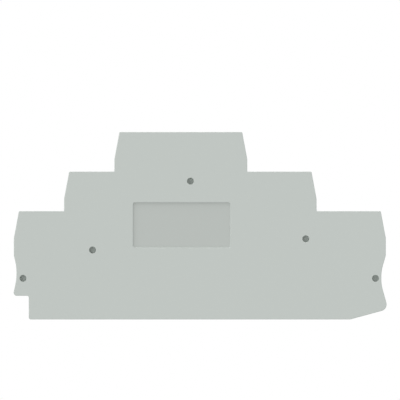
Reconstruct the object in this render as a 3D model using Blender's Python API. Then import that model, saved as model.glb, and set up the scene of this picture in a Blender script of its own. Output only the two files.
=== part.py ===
"""End cover of a three-level rail-mounted terminal block.

The cover is one moulded plate. X runs along the block, Y from the rail side up
its three levels, and Z out of the cover's face. The plate lies face up on the
tips of its five locating pins, and its origin is under the middle of its outline.
"""

import math

import bmesh
import bpy
from mathutils import Matrix, Vector

# Levels: widths of the top and of the steps down to both ends, and the leaning flank under each top
LEVEL_COUNT = 3
LEVEL_RISE = 0.0110
TOP_LEVEL_WIDTH = 0.03692
LEFT_STEP = 0.01398
RIGHT_STEP = 0.01926
FLANK_HEIGHT = 0.0075
FLANK_LEAN = 0.0014

# Ends, from the bottom edge up: a foot and a finger grip, a straight side, then the lowest flank
GRIP_TOP = 0.0178
STRAIGHT_SIDE_HEIGHT = 0.0048

# Left end: a shallow grip over a toe, which stands out from a set-back base
LEFT_GRIP_DEPTH = 0.00072
LEFT_GRIP_LEAD = 0.0031
LEFT_GRIP_FLAT = 0.0035
TOE_REACH = 0.00028
TOE_HEIGHT = 0.00657
BASE_SETBACK = 0.00415

# Right end: a deeper grip over a lobe, with a slanted edge under it
RIGHT_GRIP_DEPTH = 0.00124
RIGHT_GRIP_LEAD = 0.0043
RIGHT_GRIP_FLAT = 0.0038
LOBE_REACH = 0.00068
LOBE_HEIGHT = 0.00287
SLANT_LENGTH = 0.0106

# Fillets in the outline
SHOULDER_RADIUS = 0.0003
STEP_RADIUS = 0.00015
KNEE_RADIUS = 0.002
GRIP_EDGE_RADIUS = 0.0015
GRIP_HOLLOW_RADIUS = 0.012
TOE_RADIUS = 0.0009
FOOT_RADIUS = 0.0005
BASE_RADIUS = 0.0006
LOBE_RADIUS = 0.0019
SLANT_RADIUS = 0.001

# Plate
THICKNESS = 0.0022
FACE_EDGE_RADIUS = 0.0002
BACK_EDGE_RADIUS = 0.00015

# Marking recess in the face, placed from the top level's left side and the middle level's top
RECESS_WIDTH = 0.02726
RECESS_HEIGHT = 0.0128
RECESS_DEPTH = 0.0004
RECESS_WALL_RUN = 0.00026
RECESS_CORNER_RADIUS = 0.0007
RECESS_SIDE_MARGIN = 0.0051
RECESS_TOP_MARGIN = 0.00847

# Blind sockets in the face, each in line with a pin on the back
SOCKET_DIAMETER = 0.0019
SOCKET_FLOOR = 0.00055
LIP_RADIUS = 0.00006

# Pins, a press fit in the next housing's sockets
PIN_PRESS = 0.00005
PIN_END_GAP = 0.00015
PIN_TIP_CHAMFER = 0.0003
PIN_ROOT_FLARE = 0.0002

# Places of the five pins, from the sides and tops of the levels, and of the grips for the lowest two
UPPER_PIN_OFFSET = 0.00268
UPPER_PIN_DROP = 0.00264
LEFT_PIN_INSET = 0.00791
LEFT_PIN_DROP = 0.01078
RIGHT_PIN_INSET = 0.00298
RIGHT_PIN_DROP = 0.00767
FOOT_PIN_DROP = 0.00636
LEFT_FOOT_PIN_INSET = 0.00184
RIGHT_FOOT_PIN_INSET = 0.00165

# Back: a rim round the outline and a boss round each pin, with a shallow relief between
RIM_WIDTH = 0.0015
RELIEF_DEPTH = 0.0005
RELIEF_DRAFT = 0.0001
BOSS_WALL = 0.0008

# Smoothness, the most of a side that one fillet takes, and how far a cutter passes a surface
FILLET_STEP = math.radians(12)
LONGEST_CHORD = 0.0007
FILLET_SHARE = 0.45
SMALLEST_FILLET = 0.00005
EDGE_SEGMENTS = 4
ROUND_SEGMENTS = 32
OVERLAP = 0.0003
SHARP_ANGLE = math.radians(40)

# Light grey glass-filled polyamide
BODY_COLOUR = (0.527, 0.565, 0.539, 1.0)
BODY_ROUGHNESS = 0.55

LOWEST_LEVEL_HEIGHT = GRIP_TOP + STRAIGHT_SIDE_HEIGHT + FLANK_HEIGHT
SOCKET_DEPTH = THICKNESS - SOCKET_FLOOR
PIN_LENGTH = SOCKET_DEPTH - PIN_END_GAP
PIN_DIAMETER = SOCKET_DIAMETER + PIN_PRESS
BACK_Z = PIN_LENGTH
FACE_Z = BACK_Z + THICKNESS
RIGHT_SIDE = (LEVEL_COUNT - 1) * (LEFT_STEP + RIGHT_STEP) + TOP_LEVEL_WIDTH


def clear_scene():
    for scene_object in list(bpy.data.objects):
        bpy.data.objects.remove(scene_object)


def level_top(level):
    return LOWEST_LEVEL_HEIGHT + level * LEVEL_RISE


def stepped_side(side_x, step):
    """Corners of one stepped side from the lowest level up; step is signed, towards the middle."""
    lean = math.copysign(FLANK_LEAN, step)
    corners = []
    for level in range(LEVEL_COUNT):
        x = side_x + level * step
        top = level_top(level)
        corners.append((x, top - FLANK_HEIGHT, KNEE_RADIUS))
        corners.append((x + lean, top, SHOULDER_RADIUS))
        if level < LEVEL_COUNT - 1:
            corners.append((x + step, top, STEP_RADIUS))
    return corners


def grip(side_x, depth, lead, flat):
    """Corners of one finger grip from its top down; depth is signed, into the plate."""
    flat_top = GRIP_TOP - lead
    return [
        (side_x, GRIP_TOP, GRIP_EDGE_RADIUS),
        (side_x + depth, flat_top, GRIP_HOLLOW_RADIUS),
        (side_x + depth, flat_top - flat, GRIP_HOLLOW_RADIUS),
    ]


def plate_corners():
    """Corners of the plate, anticlockwise from the bottom left, each with its fillet radius."""
    left_grip = grip(0.0, LEFT_GRIP_DEPTH, LEFT_GRIP_LEAD, LEFT_GRIP_FLAT)
    right_grip = grip(RIGHT_SIDE, -RIGHT_GRIP_DEPTH, RIGHT_GRIP_LEAD, RIGHT_GRIP_FLAT)
    lobe_x = RIGHT_SIDE + LOBE_REACH
    corners = [
        (BASE_SETBACK, 0.0, BASE_RADIUS),
        (lobe_x - SLANT_LENGTH, 0.0, SLANT_RADIUS),
        (lobe_x, LOBE_HEIGHT, LOBE_RADIUS),
        *reversed(right_grip),
        *stepped_side(RIGHT_SIDE, -RIGHT_STEP),
        *reversed(stepped_side(0.0, LEFT_STEP)),
        *left_grip,
        (-TOE_REACH, TOE_HEIGHT, TOE_RADIUS),
        (BASE_SETBACK, TOE_HEIGHT, FOOT_RADIUS),
    ]
    return [(Vector((x, y)), radius) for x, y, radius in corners]


def recess_corners():
    """Corners of the marking recess at the face, anticlockwise."""
    left = (LEVEL_COUNT - 1) * LEFT_STEP + RECESS_SIDE_MARGIN
    top = level_top(1) - RECESS_TOP_MARGIN
    right = left + RECESS_WIDTH
    bottom = top - RECESS_HEIGHT
    places = [(left, bottom), (right, bottom), (right, top), (left, top)]
    return [(Vector(place), RECESS_CORNER_RADIUS) for place in places]


def pin_places():
    """Centres of the five pins and of the sockets in line with them."""
    top_level_middle = (LEVEL_COUNT - 1) * LEFT_STEP + TOP_LEVEL_WIDTH / 2
    foot_y = GRIP_TOP - FOOT_PIN_DROP
    return [
        Vector((top_level_middle + UPPER_PIN_OFFSET, level_top(1) - UPPER_PIN_DROP)),
        Vector((LEFT_STEP + LEFT_PIN_INSET, level_top(0) - LEFT_PIN_DROP)),
        Vector((RIGHT_SIDE - RIGHT_STEP - RIGHT_PIN_INSET, level_top(0) - RIGHT_PIN_DROP)),
        Vector((LEFT_GRIP_DEPTH + LEFT_FOOT_PIN_INSET, foot_y)),
        Vector((RIGHT_SIDE - RIGHT_GRIP_DEPTH - RIGHT_FOOT_PIN_INSET, foot_y)),
    ]


def turn_left(vector):
    return Vector((-vector.y, vector.x))


def filleted(corners, inset=0.0):
    """Points of the closed outline, every side moved inwards by inset and each corner an arc."""
    points = []
    for index, (corner, wanted_radius) in enumerate(corners):
        side_in = corner - corners[index - 1][0]
        side_out = corners[(index + 1) % len(corners)][0] - corner
        longest_tangent = FILLET_SHARE * min(side_in.length, side_out.length)
        side_in.normalize()
        side_out.normalize()
        turn = math.atan2(side_in.cross(side_out), side_in.dot(side_out))
        half_turn = math.tan(abs(turn) / 2)
        radius = min(wanted_radius, longest_tangent / half_turn)
        normals = turn_left(side_in) + turn_left(side_out)
        moved = corner + normals * (inset / (1.0 + side_in.dot(side_out)))
        arc_radius = max(radius - math.copysign(inset, turn), SMALLEST_FILLET)
        start = moved - side_in * arc_radius * half_turn
        centre = start + turn_left(side_in) * math.copysign(arc_radius, turn)
        steps = max(2, math.ceil(abs(turn) / FILLET_STEP), math.ceil(abs(turn) * radius / LONGEST_CHORD))
        for step in range(steps + 1):
            swing = Matrix.Rotation(turn * step / steps, 2)
            points.append(centre + swing @ (start - centre))
    return points


def ring_from_outline(corners, inset, z):
    return [Vector((point.x, point.y, z)) for point in filleted(corners, inset)]


def circle_ring(centre, radius, z):
    ring = []
    for step in range(ROUND_SEGMENTS):
        angle = 2 * math.pi * step / ROUND_SEGMENTS
        spoke = Vector((math.cos(angle), math.sin(angle))) * radius
        ring.append(Vector((centre.x + spoke.x, centre.y + spoke.y, z)))
    return ring


def add_loft(mesh, rings):
    """A closed solid through rings of equal length, from the lowest up, flat at both ends."""
    loops = [[mesh.verts.new(point) for point in ring] for ring in rings]
    for lower, upper in zip(loops, loops[1:]):
        for index in range(len(lower)):
            mesh.faces.new((lower[index - 1], lower[index], upper[index], upper[index - 1]))
    mesh.faces.new(reversed(loops[0]))
    mesh.faces.new(loops[-1])


def add_turned(mesh, centre, profile):
    """A round solid on an upright axis, from radius and height pairs, the lowest first."""
    add_loft(mesh, [circle_ring(centre, radius, z) for radius, z in profile])


def object_from(name, mesh):
    data = bpy.data.meshes.new(name)
    mesh.to_mesh(data)
    mesh.free()
    made = bpy.data.objects.new(name, data)
    bpy.context.scene.collection.objects.link(made)
    return made


def tool_from(name, mesh):
    """An object that only shapes others, shown as wire."""
    tool = object_from(name, mesh)
    tool.hide_render = True
    tool.display_type = "WIRE"
    return tool


def quarter_round(radius):
    """Insets and distances from the flat of an edge rounded by a quarter circle, flat first."""
    pairs = []
    for step in range(EDGE_SEGMENTS + 1):
        angle = math.pi / 2 * step / EDGE_SEGMENTS
        pairs.append((radius * (1.0 - math.sin(angle)), radius * (1.0 - math.cos(angle))))
    return pairs


def make_plate():
    """The plain plate with rounded edges on its face and back."""
    corners = plate_corners()
    back = [(inset, BACK_Z + drop) for inset, drop in quarter_round(BACK_EDGE_RADIUS)]
    face = [(inset, FACE_Z - drop) for inset, drop in quarter_round(FACE_EDGE_RADIUS)]
    mesh = bmesh.new()
    add_loft(mesh, [ring_from_outline(corners, inset, z) for inset, z in back + face[::-1]])
    return object_from("end_cover", mesh)


def mouth_profile(lip):
    """Widening and height of a cutter's rolled mouth over its wall, up past the face."""
    steps = EDGE_SEGMENTS - 1
    pairs = []
    for step in range(steps + 1):
        angle = math.pi / 2 * step / EDGE_SEGMENTS
        pairs.append((lip * (1.0 - math.cos(angle)), lip * (math.sin(angle) - 1.0)))
    widening, height = pairs[-1]
    slope = (widening - pairs[-2][0]) / (height - pairs[-2][1])
    pairs.append((widening + (OVERLAP - height) * slope, OVERLAP))
    return pairs


def make_recess_cutter():
    """The marking recess: sloped walls with a rolled lip, down to a flat floor."""
    corners = recess_corners()
    slope = RECESS_WALL_RUN / RECESS_DEPTH
    profile = [(RECESS_WALL_RUN, -RECESS_DEPTH)]
    for widening, height in mouth_profile(LIP_RADIUS):
        profile.append((-widening - height * slope, height))
    mesh = bmesh.new()
    add_loft(mesh, [ring_from_outline(corners, inset, FACE_Z + height) for inset, height in profile])
    return tool_from("recess_cutter", mesh)


def make_socket_cutter():
    """The five blind sockets, each with a rolled lip and a rounded floor."""
    radius = SOCKET_DIAMETER / 2
    floor_z = FACE_Z - SOCKET_DEPTH
    profile = [(radius - inset, floor_z + rise) for inset, rise in quarter_round(LIP_RADIUS)]
    profile += [(radius + widening, FACE_Z + height) for widening, height in mouth_profile(LIP_RADIUS)]
    mesh = bmesh.new()
    for place in pin_places():
        add_turned(mesh, place, profile)
    return tool_from("socket_cutter", mesh)


def make_relief_cutter():
    """The relief in the back, inside the rim, which leaves a boss round each pin."""
    corners = plate_corners()
    mesh = bmesh.new()
    add_loft(mesh, [
        ring_from_outline(corners, RIM_WIDTH, BACK_Z - OVERLAP),
        ring_from_outline(corners, RIM_WIDTH + RELIEF_DRAFT, BACK_Z + RELIEF_DEPTH),
    ])
    cutter = tool_from("relief_cutter", mesh)
    boss_radius = PIN_DIAMETER / 2 + BOSS_WALL
    boss_profile = [
        (boss_radius, BACK_Z - 2 * OVERLAP),
        (boss_radius + RELIEF_DRAFT, BACK_Z + RELIEF_DEPTH + OVERLAP),
    ]
    bosses = bmesh.new()
    for place in pin_places():
        add_turned(bosses, place, boss_profile)
    add_boolean(cutter, tool_from("boss_keeper", bosses), "DIFFERENCE")
    return cutter


def make_pins():
    """The five pins, from their chamfered tips up into the plate."""
    radius = PIN_DIAMETER / 2
    profile = [
        (radius - PIN_TIP_CHAMFER, 0.0),
        (radius, PIN_TIP_CHAMFER),
        (radius, BACK_Z - PIN_ROOT_FLARE),
        (radius + PIN_ROOT_FLARE + OVERLAP, BACK_Z + OVERLAP),
    ]
    mesh = bmesh.new()
    for place in pin_places():
        add_turned(mesh, place, profile)
    return tool_from("locating_pins", mesh)


def add_boolean(target, tool, operation):
    modifier = target.modifiers.new(tool.name, "BOOLEAN")
    modifier.operation = operation
    modifier.solver = "EXACT"
    modifier.object = tool


def settle_modifiers(target):
    """Give the object the mesh that its modifiers make, and remove the tools."""
    evaluated = target.evaluated_get(bpy.context.evaluated_depsgraph_get())
    result = bpy.data.meshes.new_from_object(evaluated)
    target.modifiers.clear()
    target.data = result
    for tool in [other for other in bpy.data.objects if other is not target]:
        bpy.data.objects.remove(tool)


def polyamide():
    material = bpy.data.materials.new("light_grey_polyamide")
    material.use_nodes = True
    shader = material.node_tree.nodes["Principled BSDF"]
    shader.inputs["Base Color"].default_value = BODY_COLOUR
    shader.inputs["Roughness"].default_value = BODY_ROUGHNESS
    shader.inputs["Metallic"].default_value = 0.0
    return material


def centre_on_outline(target):
    """Put the world's origin under the middle of the plate's outline."""
    outline = filleted(plate_corners())
    for axis in range(2):
        values = [point[axis] for point in outline]
        target.location[axis] = -(min(values) + max(values)) / 2


def main():
    clear_scene()
    cover = make_plate()
    add_boolean(cover, make_relief_cutter(), "DIFFERENCE")
    add_boolean(cover, make_pins(), "UNION")
    add_boolean(cover, make_recess_cutter(), "DIFFERENCE")
    add_boolean(cover, make_socket_cutter(), "DIFFERENCE")
    settle_modifiers(cover)
    cover.data.materials.clear()
    cover.data.materials.append(polyamide())
    cover.data.shade_smooth()
    cover.data.set_sharp_from_angle(angle=SHARP_ANGLE)
    centre_on_outline(cover)


main()
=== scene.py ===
"""Dressed scene of the terminal block end cover: finish, floor, light and camera.

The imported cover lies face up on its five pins, and its shape is used as it is.
Here its triangles are welded and shaded smooth, and it gets the fine matt
surface of moulded polyamide.
"""

import math

import bpy
from mathutils import Euler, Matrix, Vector


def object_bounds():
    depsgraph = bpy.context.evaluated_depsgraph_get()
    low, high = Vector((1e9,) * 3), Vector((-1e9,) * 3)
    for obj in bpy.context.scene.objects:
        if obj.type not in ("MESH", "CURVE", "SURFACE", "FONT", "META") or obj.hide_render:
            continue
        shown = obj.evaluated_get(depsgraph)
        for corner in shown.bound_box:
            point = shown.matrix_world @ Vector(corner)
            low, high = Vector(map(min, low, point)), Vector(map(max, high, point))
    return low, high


# Shading of the cover. At the largest weight, the largest face at a corner sets its normal.
WELD_DISTANCE = 1e-6
SHARP_ANGLE = math.radians(40)
FLAT_ANGLE = math.radians(0.1)
LARGE_FACE_WEIGHT = 100

# Floor of the marking recess: its depth, the band of heights taken as floor, and a box round it
RECESS_DEPTH = 0.0004
RECESS_FLOOR_BAND = 0.0001
RECESS_ACROSS = (-0.0188, 0.0090)
RECESS_UP = (-0.0062, 0.0072)

# Polyamide: colours and roughness
FACE_COLOUR = (0.527, 0.565, 0.539, 1.0)
RECESS_COLOUR = (0.4755, 0.5070, 0.4830, 1.0)
ROUGHNESS = 0.55
ROUGHNESS_SPREAD = 0.06

# Polyamide: its grain, its flecks and the flow of the melt, as noises round the same middle.
# Each has the size of its features, its octaves past the first, and a strength.
NOISE_MIDDLE = 0.5
GRAIN_SIZE = 0.00012
GRAIN_DETAIL = 2.0
GRAIN_HEIGHT = 0.000006
FLECK_SIZE = 0.00035
FLECK_DETAIL = 3.0
FLECK_CONTRAST = 0.02
FLOW_SIZE = 0.03
FLOW_DETAIL = 1.0
FLOW_CONTRAST = 0.008

# Floor and background. The floor is shaded where things within reach leave it little of the sky:
# fully below the first share of it, and no longer above the second.
FLOOR_SIDE = 6.0
FLOOR_COLOUR = (0.85, 0.85, 0.85, 1.0)
SHADE_REACH = 0.008
SHADE_FROM = 0.05
SHADE_TO = 0.35
WHITE = (1.0, 1.0, 1.0, 1.0)

# Light: an even pale room, and wide soft lamps from the top and the left of the picture.
# Each lamp has its azimuth from +X, elevation and width in degrees, and its share of the face's light.
ROOM_LEVEL = 0.705
LAMPS = {
    "soft_top": (90, 20, 30, 0.101),
    "soft_left": (180, 20, 30, 0.061),
    "soft_left_high": (180, 58, 50, 0.104),
}

# Camera: straight above the face, as far off as a product photograph is taken
LENS = 200.0
SENSOR = 36.0
VIEW_WIDTH = 0.11115
AIM = (-0.00003, 0.00716)


def node_in(tree, kind, **settings):
    """A new node of the given kind with its settings."""
    node = tree.nodes.new(kind)
    for name, value in settings.items():
        setattr(node, name, value)
    return node


def math_in(tree, operation, *values):
    """A math node on some values, each a socket or a number; returns its result."""
    node = node_in(tree, "ShaderNodeMath", operation=operation)
    for socket, value in zip(node.inputs, values):
        if isinstance(value, (int, float)):
            socket.default_value = value
        else:
            tree.links.new(value, socket)
    return node.outputs["Value"]


def noise_in(tree, coordinates, size, detail):
    """Noise with features of about the given size; returns its value from 0 to 1."""
    node = node_in(tree, "ShaderNodeTexNoise", noise_dimensions="3D")
    node.inputs["Scale"].default_value = 1.0 / size
    node.inputs["Detail"].default_value = detail
    tree.links.new(coordinates, node.inputs["Vector"])
    return node.outputs["Fac"]


def weld_and_smooth(cover):
    """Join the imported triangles, and shade them smooth up to the sharp angle.

    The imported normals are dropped. Flat triangles are joined into whole faces, which
    then stay flat up to the rounded edges beside them.
    """
    group = bpy.data.node_groups.new("weld_and_smooth", "GeometryNodeTree")
    group.interface.new_socket(name="Geometry", in_out="INPUT", socket_type="NodeSocketGeometry")
    group.interface.new_socket(name="Geometry", in_out="OUTPUT", socket_type="NodeSocketGeometry")
    start = node_in(group, "NodeGroupInput")
    end = node_in(group, "NodeGroupOutput")
    plain = node_in(group, "GeometryNodeRemoveAttribute")
    plain.inputs["Name"].default_value = "custom_normal"
    weld = node_in(group, "GeometryNodeMergeByDistance")
    weld.inputs["Distance"].default_value = WELD_DISTANCE
    faces = node_in(group, "GeometryNodeSetShadeSmooth", domain="FACE")
    faces.inputs["Shade Smooth"].default_value = True
    angle = node_in(group, "GeometryNodeInputMeshEdgeAngle")
    sharp = node_in(group, "FunctionNodeCompare", data_type="FLOAT", operation="GREATER_THAN")
    sharp.inputs[1].default_value = SHARP_ANGLE
    edges = node_in(group, "GeometryNodeSetShadeSmooth", domain="EDGE")
    edges.inputs["Shade Smooth"].default_value = False
    group.links.new(angle.outputs["Unsigned Angle"], sharp.inputs[0])
    group.links.new(sharp.outputs["Result"], edges.inputs["Selection"])
    for before, after in ((start, plain), (plain, weld), (weld, faces), (faces, edges), (edges, end)):
        group.links.new(before.outputs[0], after.inputs[0])
    cover.modifiers.new("weld_and_smooth", "NODES").node_group = group
    joined = cover.modifiers.new("join_flats", "DECIMATE")
    joined.decimate_type = "DISSOLVE"
    joined.angle_limit = FLAT_ANGLE
    weighted = cover.modifiers.new("flat_faces_first", "WEIGHTED_NORMAL")
    weighted.keep_sharp = True
    weighted.weight = LARGE_FACE_WEIGHT


def between(tree, value, low, high):
    """1 where the value lies between the two numbers, else 0."""
    above = math_in(tree, "GREATER_THAN", value, low)
    below = math_in(tree, "LESS_THAN", value, high)
    return math_in(tree, "MULTIPLY", above, below)


def on_recess_floor(tree, places, face_z):
    """1 on the floor of the marking recess, else 0."""
    parts = node_in(tree, "ShaderNodeSeparateXYZ")
    tree.links.new(places, parts.inputs["Vector"])
    floor_z = face_z - RECESS_DEPTH
    heights = (floor_z - RECESS_FLOOR_BAND, floor_z + RECESS_FLOOR_BAND)
    inside = 1.0
    for value, (low, high) in zip(parts.outputs, (RECESS_ACROSS, RECESS_UP, heights)):
        inside = math_in(tree, "MULTIPLY", between(tree, value, low, high), inside)
    return inside


def varied(tree, noise, spread, middle):
    """A value round the middle, which may be a socket or a number, as far off as noise and spread say."""
    return math_in(tree, "MULTIPLY_ADD", math_in(tree, "SUBTRACT", noise, NOISE_MIDDLE), spread, middle)


def polyamide(face_z):
    """Light grey moulded polyamide with a spark-eroded grain; the recess floor is a little darker."""
    material = bpy.data.materials.new("light_grey_polyamide_finish")
    material.use_nodes = True
    tree = material.node_tree
    shader = tree.nodes["Principled BSDF"]
    places = node_in(tree, "ShaderNodeTexCoord").outputs["Object"]
    flow = noise_in(tree, places, FLOW_SIZE, FLOW_DETAIL)
    fleck = noise_in(tree, places, FLECK_SIZE, FLECK_DETAIL)
    grain = noise_in(tree, places, GRAIN_SIZE, GRAIN_DETAIL)

    base = node_in(tree, "ShaderNodeValToRGB")
    base.color_ramp.elements[0].color = FACE_COLOUR
    base.color_ramp.elements[1].color = RECESS_COLOUR
    tree.links.new(on_recess_floor(tree, places, face_z), base.inputs["Fac"])
    tone = varied(tree, fleck, FLECK_CONTRAST, varied(tree, flow, FLOW_CONTRAST, 1.0))
    colour = node_in(tree, "ShaderNodeVectorMath", operation="SCALE")
    tree.links.new(base.outputs["Color"], colour.inputs["Vector"])
    tree.links.new(tone, colour.inputs["Scale"])
    tree.links.new(colour.outputs["Vector"], shader.inputs["Base Color"])
    tree.links.new(varied(tree, fleck, ROUGHNESS_SPREAD, ROUGHNESS), shader.inputs["Roughness"])

    bump = node_in(tree, "ShaderNodeBump")
    bump.inputs["Strength"].default_value = 1.0
    bump.inputs["Distance"].default_value = GRAIN_HEIGHT
    tree.links.new(grain, bump.inputs["Height"])
    tree.links.new(bump.outputs["Normal"], shader.inputs["Normal"])
    return material


def seen_by_camera(tree):
    """1 for rays that show the background: from the camera, a reflection or through glass."""
    path = node_in(tree, "ShaderNodeLightPath").outputs
    either = math_in(tree, "MAXIMUM", path["Is Camera Ray"], path["Is Glossy Ray"])
    return math_in(tree, "MAXIMUM", either, path["Is Transmission Ray"])


def floor_material():
    """Matt and pale, but seen white in the open; near the cover its own shading shows."""
    material = bpy.data.materials.new("floor")
    material.use_nodes = True
    tree = material.node_tree
    tree.nodes.clear()
    matt = node_in(tree, "ShaderNodeBsdfDiffuse")
    matt.inputs["Color"].default_value = FLOOR_COLOUR
    white = node_in(tree, "ShaderNodeEmission")
    white.inputs["Color"].default_value = WHITE
    openness = node_in(tree, "ShaderNodeAmbientOcclusion")
    openness.inputs["Distance"].default_value = SHADE_REACH
    open_share = node_in(tree, "ShaderNodeMapRange", interpolation_type="SMOOTHSTEP")
    open_share.inputs["From Min"].default_value = SHADE_FROM
    open_share.inputs["From Max"].default_value = SHADE_TO
    tree.links.new(openness.outputs["AO"], open_share.inputs["Value"])
    white_share = math_in(tree, "MULTIPLY", seen_by_camera(tree), open_share.outputs["Result"])
    seen = node_in(tree, "ShaderNodeMixShader")
    tree.links.new(white_share, seen.inputs["Fac"])
    tree.links.new(matt.outputs["BSDF"], seen.inputs[1])
    tree.links.new(white.outputs["Emission"], seen.inputs[2])
    out = node_in(tree, "ShaderNodeOutputMaterial")
    tree.links.new(seen.outputs["Shader"], out.inputs["Surface"])
    return material


def make_floor():
    """A pale square floor under the pins' tips."""
    half = FLOOR_SIDE / 2
    corners = [(-half, -half, 0.0), (half, -half, 0.0), (half, half, 0.0), (-half, half, 0.0)]
    mesh = bpy.data.meshes.new("floor")
    mesh.from_pydata(corners, [], [(0, 1, 2, 3)])
    mesh.materials.append(floor_material())
    floor = bpy.data.objects.new("floor", mesh)
    bpy.context.scene.collection.objects.link(floor)


def make_room():
    """An even pale room, which the camera sees as white."""
    world = bpy.data.worlds.new("room")
    world.use_nodes = True
    tree = world.node_tree
    background = tree.nodes["Background"]
    background.inputs["Color"].default_value = WHITE
    level = math_in(tree, "MULTIPLY", seen_by_camera(tree), 1.0 - ROOM_LEVEL)
    level = math_in(tree, "ADD", level, ROOM_LEVEL)
    tree.links.new(level, background.inputs["Strength"])
    bpy.context.scene.world = world


def make_lamps():
    """The wide soft lamps, as suns without a glare, each as strong as its share of the face's light.

    A sun of energy pi lights what faces it as much as a room of level 1 does.
    """
    for name, (azimuth, elevation, width, share) in LAMPS.items():
        light = bpy.data.lights.new(name, "SUN")
        light.angle = math.radians(width)
        light.energy = math.pi * share / math.sin(math.radians(elevation))
        lamp = bpy.data.objects.new(name, light)
        bpy.context.scene.collection.objects.link(lamp)
        lamp.visible_glossy = False
        tilt = Euler((0.0, math.radians(90 - elevation), math.radians(azimuth)))
        lamp.rotation_euler = tilt
        lamp.location = tilt.to_matrix() @ Vector((0.0, 0.0, 1.0))


def make_camera(face_z):
    """A long lens straight above the cover, with the picture's width at the face."""
    data = bpy.data.cameras.new("camera")
    data.lens = LENS
    data.sensor_width = SENSOR
    camera = bpy.data.objects.new("camera", data)
    bpy.context.scene.collection.objects.link(camera)
    camera.location = (*AIM, face_z + VIEW_WIDTH * LENS / SENSOR)
    bpy.context.scene.camera = camera


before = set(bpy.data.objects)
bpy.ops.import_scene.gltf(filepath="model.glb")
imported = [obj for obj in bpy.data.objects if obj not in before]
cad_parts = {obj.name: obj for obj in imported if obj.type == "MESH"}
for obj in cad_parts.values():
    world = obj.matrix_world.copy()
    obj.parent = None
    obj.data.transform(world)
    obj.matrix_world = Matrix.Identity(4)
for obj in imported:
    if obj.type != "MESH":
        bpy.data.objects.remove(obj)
cad_low, cad_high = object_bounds()
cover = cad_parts["end_cover"]
weld_and_smooth(cover)
cover.material_slots[0].material = polyamide(cad_high.z)
make_floor()
make_room()
make_lamps()
make_camera(cad_high.z)
bpy.context.scene.view_settings.view_transform = "Standard"
